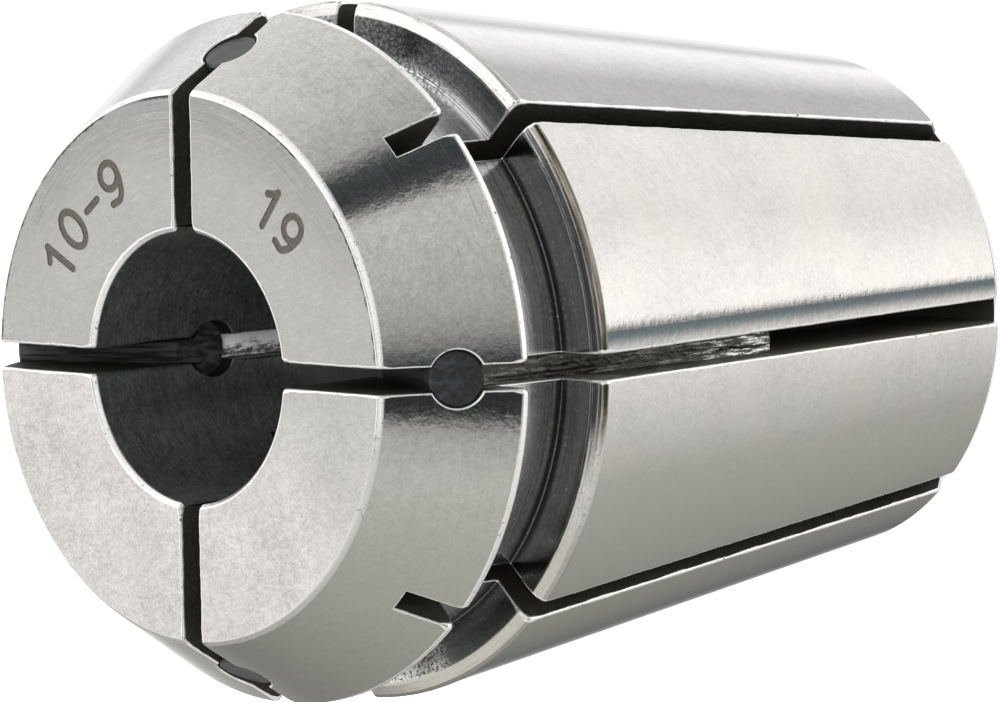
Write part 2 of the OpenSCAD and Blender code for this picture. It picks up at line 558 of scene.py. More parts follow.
    def arc_n(p):
        u = float(np.dot(p, UDIR))
        d = unit([ARC_X - u, ARC_Z - p[2]])
        return UDIR * d[0] + np.array([0, 0, d[1]])

    for c in range(M):
        for s in range(Q):
            pts = [lines[c][s], lines[c][s + 1], lines[c + 1][s + 1], lines[c + 1][s]]
            face(pts, [arc_n(p) for p in pts], SLOT)

    # wall of the rear slot
    wall = [rows[j].right[K] for j in list(range(mk["arc"], count)) + list(range(0, mk["notch"] + 1))]
    wall += lines[0][1:-1]
    face(wall, [-VDIR] * len(wall), SLOT)

    # relief hole
    a1, a2 = A_SLOT, math.pi - A_SLOT
    out_rows = [rows[j] for j in range(mk["hi"], mk["lo"] - 1, -1)]
    in_rows = [rows[j] for j in range(mk["b_hi"], mk["b_lo"] + 1)]
    t_of = lambda p: float(np.dot(p - HO, AX))
    ta = (WEB_IN - HOLE_X + HOLE_R * math.cos(a2) * math.sin(TILT)) / math.cos(TILT)
    tb = (WEB_OUT - HOLE_X + HOLE_R * math.cos(a2) * math.sin(TILT)) / math.cos(TILT)
    hole_lines = []
    for ro, ri in zip(out_rows, in_rows):
        al = ro.alpha
        t0, t1 = t_of(ri.left[K]), t_of(ro.left[K])
        ts = [t0, ta] + [ta + (tb - ta) * f for f in (0.2, 0.4, 0.6, 0.8)] + [tb, t1]
        line = [on_hole(t, al) for t in ts]
        line[0], line[-1] = ri.left[K], ro.left[K]
        hole_lines.append((al, line))
    for (al, la), (be, lb) in zip(hole_lines, hole_lines[1:]):
        for c in range(len(la) - 1):
            face([la[c], la[c + 1], lb[c + 1], lb[c]], [-rho(al), -rho(al), -rho(be), -rho(be)], SLOT)
    # end of the web, which is the hole's rear wall
    prev = None
    for c in range(WM + 1):
        y = H * (1 - c / WM)
        al = math.pi - math.asin(y / HOLE_R)
        k0 = (WEB_IN - HOLE_X + HOLE_R * math.cos(al) * math.sin(TILT)) / math.cos(TILT)
        k1 = (WEB_OUT - HOLE_X + HOLE_R * math.cos(al) * math.sin(TILT)) / math.cos(TILT)
        line = [on_hole(k0 + (k1 - k0) * f, al) for f in (0, 0.2, 0.4, 0.6, 0.8, 1.0)]
        if prev is not None:
            for s in range(5):
                face([prev[1][s], prev[1][s + 1], line[s + 1], line[s]],
                     [-rho(prev[0]), -rho(prev[0]), -rho(al), -rho(al)], SLOT)
        prev = (al, line)

    # wall of the front slot over the hole
    wall = [rows[j].left[K] for j in range(mk["hi"], mk["b_hi"] + 1)]
    wall += hole_lines[0][1][1:-1]
    face(wall, [(0, -1, 0)] * len(wall), SLOT)
    # wall beside and under the web
    low = hole_lines[-1][1]
    z_out, z_in = low[-2][2], low[1][2]
    wall = [rows[j].left[K] for j in list(range(mk["b_lo"], count)) + list(range(0, mk["lo"] + 1))]
    wall.append(low[-2])
    for z in web_heights(z_out)[-2:0:-1]:
        wall.append(np.array([WEB_OUT, H, z]))
    wall.append(np.array([WEB_OUT, H, WEB_Z]))
    wall.append(np.array([WEB_IN, H, WEB_Z]))
    for z in web_heights(z_in)[1:-1]:
        wall.append(np.array([WEB_IN, H, z]))
    wall.append(low[1])
    face(wall, [(0, -1, 0)] * len(wall), SLOT)

    # lines of the front face
    j0 = mk["spans"][S_FACE]
    j1 = next(j for j in range(j0, count) if rows[j].kind == ("arc", S_FACE + 1))
    ring = lambda row: grid_points(row) + extra_points(row)[1:]
    return dict(outer=[place(p) for p in ring(rows[j0])], inner=[place(p) for p in ring(rows[j1])],
                slot=[place(rows[j].left[0]) for j in range(j0, j1 + 1)])


def end_column(row, v, outer):
    """Rounded edge of a rear slot's closed end, at distance v from the slot's middle."""
    if outer:
        e = uv(math.sqrt(cone_r(SLOT_END_Z) ** 2 - v ** 2), v, SLOT_END_Z)
        t = UDIR * -0.5 + np.array([0, 0, math.cos(math.radians(30))])
        w = unit(UDIR * -0.879 + np.array([0, 0, -0.476]))
        p0 = uv(math.sqrt(row.r ** 2 - v ** 2), v, row.z)
        return fillet(e, t, w, NOTCH_B, p0)
    e = uv(math.sqrt(25.0 - v ** 2), v, row.z - NOTCH_B)
    w = UDIR + np.array([0, 0, 0.948])
    p0 = uv(math.sqrt(25.0 - v ** 2), v, row.z)
    return fillet(e, np.array([0, 0, 1.0]), w, NOTCH_B, p0)


def end_p0(row, outer):
    return [row.right[0]] + [end_column(row, H * (1 - c / M), outer)[0] for c in range(1, M + 1)]


def web_heights(z_top):
    count = 90
    return [WEB_Z + (z_top - WEB_Z) * i / count for i in range(count + 1)]


def build_web(shell, turn, seed):
    """The web in one front slot line: rough sawn outer and inner faces and a square rear end."""
    ca, sa = math.cos(turn), math.sin(turn)
    rng = np.random.default_rng(seed)
    place = lambda p: (p[0] * ca - p[1] * sa, p[0] * sa + p[1] * ca, p[2])
    cols = 2 * WM
    for x, sign in ((WEB_OUT, 1.0), (WEB_IN, -1.0)):
        # long ridges: smooth random lines along the slot, and short breaks in them
        base = rng.normal(0, 1, cols + 1)
        grid = []
        rough = np.zeros((91, cols + 1))
        for _ in range(26):
            c = rng.uniform(0, cols)
            width = rng.uniform(0.5, 1.3)
            z0 = rng.uniform(-10, 90)
            length = rng.uniform(8, 45)
            height = rng.normal(0, 1)
            for i in range(91):
                f = (i - z0) / length
                if 0 < f < 1:
                    rough[i] += height * math.sin(math.pi * f) * np.exp(-((np.arange(cols + 1) - c) / width) ** 2)
        rough += rng.normal(0, 0.16, rough.shape)
        rough = np.clip(rough, -2, 2) * 0.028
        rough[:, 0] = rough[:, -1] = 0
        rough[0] = rough[-1] = 0
        for c in range(cols + 1):
            y = -H + 2 * H * c / cols
            al = math.pi - math.asin(abs(y) / HOLE_R)
            t = (x - HOLE_X + HOLE_R * math.cos(al) * math.sin(TILT)) / math.cos(TILT)
            top = on_hole(t, al)[2]
            line = []
            for i, z in enumerate(web_heights(top)):
                fade = min(1.0, i / 4, (90 - i) / 4)
                line.append(np.array([x - sign * 0.03 * min(1, min(c, cols - c) / 2) * fade + sign * rough[i][c] * fade, y, z]))
            grid.append(line)
        g = np.array(grid)
        dz = np.gradient(g, axis=1)
        dy = np.gradient(g, axis=0)
        nn = np.cross(dy, dz) * sign
        nn /= np.linalg.norm(nn, axis=2, keepdims=True)
        nn[np.sum(nn * np.array([sign, 0, 0]), axis=2) < 0] *= -1
        for c in range(cols):
            for i in range(90):
                ix = ((c, i), (c + 1, i), (c + 1, i + 1), (c, i + 1))
                shell.face([place(g[a]) for a in ix], [place(nn[a]) for a in ix], WEB if sign > 0 else WEB_FACE)
    # square rear end
    ends = [(WEB_OUT, -H + 2 * H * c / cols) for c in range(cols + 1)]
    pts = [(x, y, WEB_Z) for x, y in ends] + [(WEB_IN, y, WEB_Z) for _, y in reversed(ends)]
    shell.face([place(p) for p in pts], [(0, 0, -1)] * len(pts), SLOT)


# --------------------------------------------------------------------- marks
# Plain numbers on the face. Strokes are polylines in a box 1 high: x along the
# line of numbers, y outwards from the axis.
def arc_pts(cx, cy, rx, ry, a0, a1, n):
    return [(cx + rx * math.cos(math.radians(a0 + (a1 - a0) * i / n)), cy + ry * math.sin(math.radians(a0 + (a1 - a0) * i / n))) for i in range(n + 1)]


def glyph(name):
    if name == "1":
        return [[(0.09, 0.0), (0.09, 1.0)], [(0.09, 1.0), (0.0, 0.88), (-0.19, 0.76)]]
    if name == "0":
        return [arc_pts(0, 0.5, 0.31, 0.5, 90, 450, 28)]
    if name == "9":
        loop = arc_pts(0, 0.69, 0.3, 0.31, 0, 360, 22)
        tail = arc_pts(-0.02, 0.62, 0.32, 0.62, 0, -76, 9)
        return [loop, [(0.3, 0.69)] + tail[1:] + [(-0.2, 0.035)]]
    if name == "-":
        return [[(-0.24, 0.44), (0.24, 0.44)]]
    return []


MARK_W = 0.145     # half width of a stroke
MARK_DEPTH = 0.02


def marks_for(text, angles, r_base, height):
    """Stroke centre lines on the face, in millimetres."""
    lines = []
    for ch, ang in zip(text, angles):
        a = math.radians(ang)
        rad = np.array([math.cos(a), math.sin(a)])
        tan = np.array([math.sin(a), -math.cos(a)])       # clockwise
        for stroke in glyph(ch):
            lines.append([rad * (r_base + y * height) + tan * x * height for x, y in stroke])
    return lines


def stroke_outline(line):
    """Closed outlines round a thick stroke with round ends."""
    p = np.array(line, float)
    closed = np.linalg.norm(p[0] - p[-1]) < 1e-6
    if closed:
        p = p[:-1]
        d = np.roll(p, -1, axis=0) - np.roll(p, 1, axis=0)
        n = np.stack([-d[:, 1], d[:, 0]], 1) / np.linalg.norm(d, axis=1, keepdims=True)
        return [list(p + n * MARK_W), list(p - n * MARK_W)]
    d = np.gradient(p, axis=0)
    n = np.stack([-d[:, 1], d[:, 0]], 1) / np.linalg.norm(d, axis=1, keepdims=True)
    left, right = list(p + n * MARK_W), list(p - n * MARK_W)

    def cap(c, frm):
        a0 = math.atan2(frm[1], frm[0])
        return [c + MARK_W * np.array([math.cos(a0 - math.pi * i / 8), math.sin(a0 - math.pi * i / 8)]) for i in range(1, 8)]

    return [left + cap(p[-1], n[-1]) + right[::-1] + cap(p[0], -n[0])]


def dist_to_lines(q, lines):
    best = 1e9
    for line in lines:
        for a, b in zip(line, line[1:]):
            ab = b - a
            f = min(1.0, max(0.0, float(np.dot(q - a, ab) / np.dot(ab, ab))))
            best = min(best, float(np.linalg.norm(q - a - ab * f)))
    return best


def inside(q, poly):
    c = False
    x, y = q
    for (x0, y0), (x1, y1) in zip(poly, poly[1:] + poly[:1]):
        if (y0 > y) != (y1 > y) and x < (x1 - x0) * (y - y0) / (y1 - y0) + x0:
            c = not c
    return c


def build_face_quadrant(shell, first, second, lines):
    """Front face between two slots; first is the sector at its start, second the mirrored one at its end."""
    ring = list(first["outer"]) + list(reversed(second["outer"]))
    ring += second["slot"][1:]
    ring += list(second["inner"])[1:] + list(reversed(first["inner"]))
    ring += list(reversed(first["slot"]))[1:]
    poly = []
    for p in ring:
        if not poly or np.linalg.norm(np.subtract(p, poly[-1])) > 1e-6:
            poly.append(p)
    if np.linalg.norm(np.subtract(poly[0], poly[-1])) < 1e-6:
        poly.pop()
    if not lines:
        shell.face(poly, [(0, 0, 1)] * len(poly), FACE)
        return
    verts = [(p[0], p[1]) for p in poly]
    edges = [(i, (i + 1) % len(poly)) for i in range(len(poly))]
    for line in lines:
        for out in stroke_outline(line):
            base = len(verts)
            verts += [(float(q[0]), float(q[1])) for q in out]
            edges += [(base + i, base + (i + 1) % len(out)) for i in range(len(out))]
    co, _, faces, orig, _, _ = delaunay_2d_cdt([Vector(v) for v in verts], edges, [], 0, 1e-6)
    pts = []
    for i, v in enumerate(co):
        pts.append(verts[orig[i][0]] if orig[i] else (v[0], v[1]))
    poly2 = [(p[0], p[1]) for p in poly]
    kept = {}
    for f in faces:
        q = np.mean([pts[i] for i in f], axis=0)
        if inside(tuple(q), poly2):
            kept[tuple(f)] = dist_to_lines(q, lines) < MARK_W
    edge_side = {}
    for f, marked in kept.items():
        z = FACE_Z - (MARK_DEPTH if marked else 0)
        shell.face([(pts[i][0], pts[i][1], z) for i in f], [(0, 0, 1)] * len(f), MARK if marked else FACE)
        for a, b in zip(f, f[1:] + f[:1]):
            edge_side.setdefault((min(a, b), max(a, b)), []).append((marked, f))
    for (a, b), sides in edge_side.items():
        if len(sides) == 2 and sides[0][0] != sides[1][0]:
            m = next(f for marked, f in sides if marked)
            mid = (np.array(pts[a]) + np.array(pts[b])) / 2
            to = np.mean([pts[i] for i in m], axis=0) - mid
            d = np.array(pts[b]) - np.array(pts[a])
            n = np.array([-d[1], d[0]])
            n = n if np.dot(n, to) > 0 else -n
            shell.face([(*pts[a], FACE_Z), (*pts[b], FACE_Z), (*pts[b], FACE_Z - MARK_DEPTH), (*pts[a], FACE_Z - MARK_DEPTH)],
                       [(n[0], n[1], 0)] * 4, MARK)


def build_body():
    shell = Shell()
    sectors = {}
    for q in range(4):
        for mirror in (False, True):
            sectors[(q, mirror)] = build_sector(shell, math.pi / 2 * q, mirror, 11 + q * 2 + mirror)
        build_web(shell, math.pi / 2 * q, 71 + q)
    texts = {
        0: marks_for("19", (53.2, 42.6), 6.86, 1.52),
        1: marks_for("10-9", (151.5, 140.5, 130.0, 119.5), 6.86, 1.55),
    }
    for q in range(4):
        build_face_quadrant(shell, sectors[(q, False)], sectors[((q + 1) % 4, True)], texts.get(q, []))
    mesh = bpy.data.meshes.new("collet_steel")
    mesh.from_pydata([(x * MM, y * MM, z * MM) for x, y, z in shell.co], [], shell.faces)
    mesh.polygons.foreach_set("material_index", shell.zones)
    mesh.polygons.foreach_set("use_smooth", [True] * len(shell.faces))
    mesh.update()
    mesh.normals_split_custom_set([tuple(n) for n in shell.normals])
    obj = bpy.data.objects.new("collet_steel", mesh)
    scene.collection.objects.link(obj)
    return obj


# ----------------------------------------------------------------- materials
class Nodes:
    """Small helper for node trees."""

    def __init__(self, tree):
        self.tree, self.nodes, self.links = tree, tree.nodes, tree.links

    def new(self, kind, **props):
        n = self.nodes.new(kind)
        for k, v in props.items():
            setattr(n, k, v)
        return n

    def put(self, socket, value):
        if isinstance(value, bpy.types.NodeSocket):
            self.links.new(value, socket)
        else:
            socket.default_value = value

    def math(self, op, a, b=0.0, c=None, clamp=False):
        n = self.new("ShaderNodeMath", operation=op, use_clamp=clamp)
        self.put(n.inputs[0], a)
        self.put(n.inputs[1], b)
        if c is not None:
            self.put(n.inputs[2], c)
        return n.outputs[0]

    def ramp01(self, value, a, b, smooth=True):
        n = self.new("ShaderNodeMapRange", interpolation_type="SMOOTHSTEP" if smooth else "LINEAR")
        self.put(n.inputs["Value"], value)
        n.inputs["From Min"].default_value = a
        n.inputs["From Max"].default_value = b
        return n.outputs[0]

    def mapped(self, value, a, b, c, d):
        n = self.new("ShaderNodeMapRange")
        self.put(n.inputs["Value"], value)
        for s, v in zip(("From Min", "From Max", "To Min", "To Max"), (a, b, c, d)):
            n.inputs[s].default_value = v
        return n.outputs[0]

    def combine(self, x, y, z):
        n = self.new("ShaderNodeCombineXYZ")
        for s, v in zip(n.inputs, (x, y, z)):
            self.put(s, v)
        return n.outputs[0]

    def noise(self, vector, scale, detail=2.0, rough=0.5, dims="3D"):
        n = self.new("ShaderNodeTexNoise", noise_dimensions=dims)
        self.put(n.inputs["Vector"], vector)
        n.inputs["Scale"].default_value = scale
        n.inputs["Detail"].default_value = detail
        n.inputs["Roughness"].default_value = rough
        return n.outputs["Fac"]

    def mix(self, fac, a, b):
        n = self.new("ShaderNodeMix", data_type="RGBA")
        self.put(n.inputs[0], fac)
        for s, v in ((n.inputs[6], a), (n.inputs[7], b)):
            if isinstance(v, tuple) and len(v) == 3:
                v = (*v, 1.0)
            self.put(s, v)
        return n.outputs[2]

    def bump(self, height, distance, strength=1.0, normal=None):
        n = self.new("ShaderNodeBump")
        n.inputs["Strength"].default_value = strength
        n.inputs["Distance"].default_value = distance
        self.put(n.inputs["Height"], height)
        if normal is not None:
            self.put(n.inputs["Normal"], normal)
        return n.outputs[0]


def new_material(name):
    m = bpy.data.materials.new(name)
    m.use_nodes = True
    m.node_tree.nodes.clear()
    n = Nodes(m.node_tree)
    out = n.new("ShaderNodeOutputMaterial")
    bsdf = n.new("ShaderNodeBsdfPrincipled")
    n.links.new(bsdf.outputs[0], out.inputs[0])
    return m, n, bsdf


def cylinder_coords(n):
    """Millimetre coordinates: x, y, z, radius, angle."""
    tc = n.new("ShaderNodeTexCoord")
    mp = n.new("ShaderNodeMapping")
    mp.inputs["Scale"].default_value = (1000, 1000, 1000)
    n.links.new(tc.outputs["Object"], mp.inputs["Vector"])
    sep = n.new("ShaderNodeSeparateXYZ")
    n.links.new(mp.outputs[0], sep.inputs[0])
    x, y, z = sep.outputs
    r = n.math("SQRT", n.math("ADD", n.math("MULTIPLY", x, x), n.math("MULTIPLY", y, y)))
    a = n.math("ARCTAN2", y, x)
    return mp.outputs[0], x, y, z, r, a


def ground_steel(name, colour, spread, rough, grain=0.5, streak=0.5, cloud=0.4, grain_bump=2.0e-6,
                 streak_bump=2.0e-6, streak_x=4.0, streak_y=9.0, tint=None, extra=None, metallic=1.0, rough_var=0.25):
    """Ground or turned steel: speckled grain, grinding lines round the axis and soft clouds."""
    m, n, bsdf = new_material(name)
    mm, x, y, z, r, a = cylinder_coords(n)
    around = n.combine(n.math("MULTIPLY", a, streak_x), n.math("MULTIPLY", z, streak_y), n.math("MULTIPLY", r, streak_y))
    g = n.noise(mm, 9.0, 3.0, 0.65)
    g2 = n.noise(mm, 3.2, 2.0, 0.5)
    s = n.noise(around, 1.0, 3.0, 0.6)
    c = n.noise(mm, 0.45, 3.0, 0.55)
    v = n.math("ADD", n.math("MULTIPLY", n.math("SUBTRACT", g, 0.5), grain * 2),
               n.math("MULTIPLY", n.math("SUBTRACT", s, 0.5), streak * 2))
    v = n.math("ADD", v, n.math("MULTIPLY", n.math("SUBTRACT", c, 0.5), cloud * 2))
    v = n.math("ADD", v, n.math("MULTIPLY", n.math("SUBTRACT", g2, 0.5), grain))
    fac = n.math("ADD", v, 0.5, clamp=True)
    col = n.mix(fac, tuple(max(0.0, k * (1 - spread)) for k in colour), tuple(min(1.0, k * (1 + spread)) for k in colour))
    if tint is not None:
        warm = n.ramp01(n.noise(mm, 0.35, 2.0, 0.5), 0.42, 0.66)
        col = n.mix(n.math("MULTIPLY", warm, tint[1]), col, tint[0])
    if extra is not None:
        col = extra(n, col, dict(mm=mm, x=x, y=y, z=z, r=r, a=a, g=g, g2=g2, s=s, c=c))
    n.put(bsdf.inputs["Base Color"], col)
    bsdf.inputs["Metallic"].default_value = metallic
    rg = n.math("ADD", rough, n.math("ADD", n.math("MULTIPLY", n.math("SUBTRACT", s, 0.5), rough * rough_var * 2),
                                     n.math("MULTIPLY", n.math("SUBTRACT", g, 0.5), rough * rough_var * 2)))
    n.put(bsdf.inputs["Roughness"], rg)
    nrm = n.bump(n.math("ADD", g, n.math("MULTIPLY", g2, 2.0)), grain_bump)
    nrm = n.bump(s, streak_bump, 1.0, nrm)
    n.put(bsdf.inputs["Normal"], nrm)
    return m


def face_extra(n, col, k):
    """Upper half painted a little darker as painted shade, and polishing lines near the outer edge in a band of painted
    shade whose pale lines are partly painted sheen.
    """
    # painted shade: the upper half is mixed darker
    up = n.ramp01(k["y"], -0.6, 0.6)
    col = n.mix(n.math("MULTIPLY", up, 0.72), col, (0.44, 0.445, 0.432))
    ring = n.combine(n.math("MULTIPLY", k["a"], 2.6), n.math("MULTIPLY", k["r"], 15.0), 0.0)
    f = n.noise(ring, 1.0, 5.0, 0.72)
    # painted shade near the outer edge on the upper side, with dark polishing lines and pale ones that are partly
    # painted sheen
    outer = n.math("MULTIPLY", n.ramp01(k["r"], 6.9, 9.9), n.ramp01(k["y"], 1.5, 7.5))
    shade = n.math("MULTIPLY", outer, 0.42)
    col = n.mix(shade, col, (0.27, 0.28, 0.28))
    dark = n.math("MULTIPLY", n.ramp01(f, 0.53, 0.74), outer)
    col = n.mix(n.math("MULTIPLY", dark, 0.85), col, (0.11, 0.115, 0.12))
    pale = n.math("MULTIPLY", n.ramp01(f, 0.46, 0.3), outer)
    col = n.mix(n.math("MULTIPLY", pale, 0.5), col, (0.85, 0.85, 0.84))
    # cross-wise polishing scratches
    brush = n.combine(n.math("MULTIPLY", n.math("ADD", k["x"], n.math("MULTIPLY", k["y"], 0.35)), 0.9),
                      n.math("MULTIPLY", n.math("SUBTRACT", k["y"], n.math("MULTIPLY", k["x"], 0.3)), 11.0), 0.0)
    b = n.noise(brush, 1.0, 3.0, 0.6)
    col = n.mix(n.math("MULTIPLY", n.ramp01(b, 0.56, 0.72), 0.22), col, (0.93, 0.92, 0.9))
    col = n.mix(n.math("MULTIPLY", n.ramp01(b, 0.42, 0.28), 0.22), col, (0.42, 0.415, 0.4))
    # painted shade: darker just under the slot at 3 o'clock
    under = n.math("MULTIPLY", n.ramp01(k["a"], -0.85, -0.12), n.ramp01(k["a"], 0.03, -0.01))
    col = n.mix(n.math("MULTIPLY", under, 0.55), col, (0.47, 0.475, 0.465))
    # nicks along the outer edge
    jag = n.noise(k["mm"], 2.6, 4.0, 0.75)
    edge = n.ramp01(n.math("ADD", k["r"], n.math("MULTIPLY", jag, 0.32)), 10.075, 10.125)
    side = n.ramp01(n.noise(k["mm"], 0.5, 2.0, 0.5), 0.40, 0.56)
    side = n.math("MULTIPLY", side, n.ramp01(k["y"], -1.0, 1.0))
    return n.mix(n.math("MULTIPLY", n.math("MULTIPLY", edge, side), 0.9), col, (0.05, 0.055, 0.06))


def cone_extra(n, col, k):
    """Hair-fine dark grinding lines round the cone, more of them near the rim."""
    ring = n.combine(n.math("MULTIPLY", k["a"], 3.4), n.math("MULTIPLY", k["z"], 7.0), 0.0)
    f = n.noise(ring, 1.0, 4.0, 0.7)
    near = n.math("ADD", 0.3, n.math("MULTIPLY", n.ramp01(k["z"], 32.6, 29.9), 0.7))
    dark = n.math("MULTIPLY", n.ramp01(f, 0.58, 0.70), near)
    col = n.mix(n.math("MULTIPLY", dark, 0.5), col, (0.25, 0.25, 0.24))
    # painted shade: the lower side mixed darker and warmer
    low = n.math("MULTIPLY", n.ramp01(k["y"], -1.0, -8.0), 0.78)
    return n.mix(low, col, (0.57, 0.575, 0.505))


def body_extra(n, col, k):
    ring = n.combine(n.math("MULTIPLY", k["a"], 3.0), n.math("MULTIPLY", k["z"], 4.0), 0.0)
    f = n.noise(ring, 1.0, 4.0, 0.7)
    col = n.mix(n.math("MULTIPLY", n.ramp01(f, 0.6, 0.75), 0.2), col, (0.4, 0.4, 0.39))
    # painted reflection: the lower side mixed warmer, and the very bottom lighter
    low = n.math("MULTIPLY", n.ramp01(k["y"], -0.5, -6.0), 0.72)
    col = n.mix(low, col, (0.685, 0.69, 0.60))
    col = n.mix(n.math("MULTIPLY", n.ramp01(k["y"], -8.0, -10.0), 0.7), col, (0.80, 0.785, 0.63))
    # painted reflection: a darker blue-grey band beside the slot at 3 o'clock, ragged on its far side
    rag = n.noise(n.combine(n.math("MULTIPLY", k["x"], 3.0), n.math("MULTIPLY", k["y"], 3.0), n.math("MULTIPLY", k["z"], 5.5)), 1.0, 3.0, 0.6)
    yy = n.math("ADD", k["y"], n.math("MULTIPLY", n.math("SUBTRACT", rag, 0.5), 0.16))
    band = n.math("MULTIPLY", n.ramp01(yy, 0.66, 1.06), n.ramp01(yy, 1.29, 1.23))
    band = n.math("MULTIPLY", band, n.ramp01(k["x"], 5.0, 6.0))
    return n.mix(n.math("MULTIPLY", band, 0.86), col, (0.34, 0.425, 0.465))


def edge_extra(n, col, k):
    """Bright edges, partly worn bright and partly painted highlight, with small dark nicks; the face's bevel is painted
    darker on the lower side as painted shade.
    """
    f = n.noise(k["mm"], 4.2, 4.0, 0.75)
    where = n.ramp01(n.noise(k["mm"], 0.8, 2.0, 0.5), 0.44, 0.6)
    # painted shade: the face's bevel darker on the lower side
    bevel = n.math("MULTIPLY", n.ramp01(k["z"], 33.7, 33.85), n.ramp01(k["r"], 9.9, 10.02))
    bevel = n.math("MULTIPLY", bevel, n.ramp01(k["y"], -0.6, -3.0))
    col = n.mix(n.math("MULTIPLY", bevel, 0.85), col, (0.60, 0.595, 0.575))
    return n.mix(n.math("MULTIPLY", n.ramp01(f, 0.58, 0.66), where), col, (0.06, 0.062, 0.066))


def lead_extra(n, col, k):
    ring = n.combine(n.math("MULTIPLY", k["a"], 6.0), n.math("MULTIPLY", k["r"], 16.0), n.math("MULTIPLY", k["z"], 10.0))
    f = n.noise(ring, 1.0, 4.0, 0.7)
    col = n.mix(n.math("MULTIPLY", n.ramp01(f, 0.52, 0.68), 0.75), col, (0.22, 0.2, 0.18))
    spots = n.noise(k["mm"], 5.0, 4.0, 0.75)
    col = n.mix(n.math("MULTIPLY", n.ramp01(spots, 0.58, 0.68), 0.6), col, (0.12, 0.12, 0.12))
    # painted shade: darker and plainer on the lower side
    lower_painted_shade = n.ramp01(k["a"], -0.35, -0.6)
    col = n.mix(n.math("MULTIPLY", lower_painted_shade, 0.75), col, (0.53, 0.52, 0.465))
    # painted shade: a dark, brownish stretch, with painted highlights in its pale lines and its white inner band
    painted_shade_stretch = n.math("MULTIPLY", n.ramp01(k["a"], -0.24, -0.15), n.ramp01(k["a"], 0.86, 0.70))
    slate = n.mix(n.ramp01(f, 0.42, 0.62), (0.075, 0.085, 0.09), (0.20, 0.215, 0.22))
    brown = n.mix(n.ramp01(f, 0.42, 0.62), (0.14, 0.12, 0.09), (0.55, 0.50, 0.42))
    rr = n.math("ADD", k["r"], n.math("MULTIPLY", n.math("SUBTRACT", f, 0.5), 0.05))
    dark = n.mix(n.ramp01(rr, 12.77, 12.81), slate, brown)
    line = n.math("MULTIPLY", n.ramp01(rr, 12.735, 12.755), n.ramp01(rr, 12.80, 12.78))
    dark = n.mix(n.math("MULTIPLY", line, 0.9), dark, (0.95, 0.94, 0.91))
    dark = n.mix(n.ramp01(rr, 12.575, 12.545), dark, (0.96, 0.96, 0.95))
    return n.mix(n.math("MULTIPLY", painted_shade_stretch, 0.92), col, dark)


def groove_extra(n, col, k):
    """Turned lines, painted shade in the corner at the rear wall that turns to a painted highlight at the top, the
    floor painted lighter towards the rim as painted light, the rear wall painted darker as painted shade, and a rough,
    bright patch low on the rear wall.
    """
    ring = n.combine(n.math("MULTIPLY", k["a"], 1.2), n.math("MULTIPLY", k["r"], 9.0), n.math("MULTIPLY", k["z"], 7.0))
    f = n.noise(ring, 1.0, 3.0, 0.6)
    col = n.mix(n.math("MULTIPLY", n.ramp01(f, 0.55, 0.72), 0.6), col, (0.66, 0.66, 0.63))
    col = n.mix(n.math("MULTIPLY", n.ramp01(f, 0.44, 0.3), 0.6), col, (0.10, 0.105, 0.11))
    # painted shade in the corner at the rear wall, a painted highlight at the top
    corner = n.math("MULTIPLY", n.ramp01(k["r"], 11.42, 11.2), n.ramp01(k["z"], 25.95, 25.7))
    line = n.mix(n.ramp01(k["a"], 0.72, 0.9), (0.05, 0.055, 0.06), (0.93, 0.935, 0.94))
    col = n.mix(n.math("MULTIPLY", corner, 0.8), col, line)
    # painted light: the floor lighter towards the rim
    floor_z = n.math("MULTIPLY", n.ramp01(k["z"], 26.0, 27.6), n.ramp01(k["r"], 11.3, 11.05))
    col = n.mix(n.math("MULTIPLY", floor_z, 0.5), col, (0.60, 0.61, 0.61))
    # painted shade: the rear wall darker, except at the top
    wall = n.math("MULTIPLY", n.ramp01(k["r"], 11.2, 11.4), n.ramp01(k["z"], 27.0, 26.4))
    wall = n.math("MULTIPLY", wall, n.ramp01(k["a"], 1.1, 0.8))
    col = n.mix(n.math("MULTIPLY", wall, 0.6), col, (0.13, 0.145, 0.132))
    speck = n.noise(k["mm"], 8.5, 3.0, 0.7)
    low = n.math("MULTIPLY", n.ramp01(k["a"], -1.13, -1.22), n.ramp01(k["a"], -1.72, -1.6))
    low = n.math("MULTIPLY", low, n.ramp01(k["r"], 11.05, 11.25))
    chips = n.ramp01(n.math("ADD", speck, n.math("MULTIPLY", low, 0.10)), 0.51, 0.60)
    col = n.mix(n.math("MULTIPLY", low, 0.6), col, (0.16, 0.16, 0.155))
    col = n.mix(n.math("MULTIPLY", low, chips), col, (0.97, 0.97, 0.96))
    # pale and dark specks, most of them at the top, where it is also a little lighter
    high = n.math("MULTIPLY", n.ramp01(k["a"], 0.85, 1.2), 0.10)
    grit = n.noise(k["mm"], 7.0, 3.0, 0.75)
    pale_specks = n.ramp01(n.math("ADD", grit, high), 0.62, 0.70)
    col = n.mix(n.math("MULTIPLY", n.ramp01(n.math("SUBTRACT", grit, high), 0.42, 0.33), n.math("MULTIPLY", high, 9.0)), col, (0.06, 0.065, 0.07))
    col = n.mix(n.math("MULTIPLY", high, 2.5), col, (0.55, 0.56, 0.57))
    return n.mix(n.math("MULTIPLY", pale_specks, 0.7), col, (0.80, 0.81, 0.81))


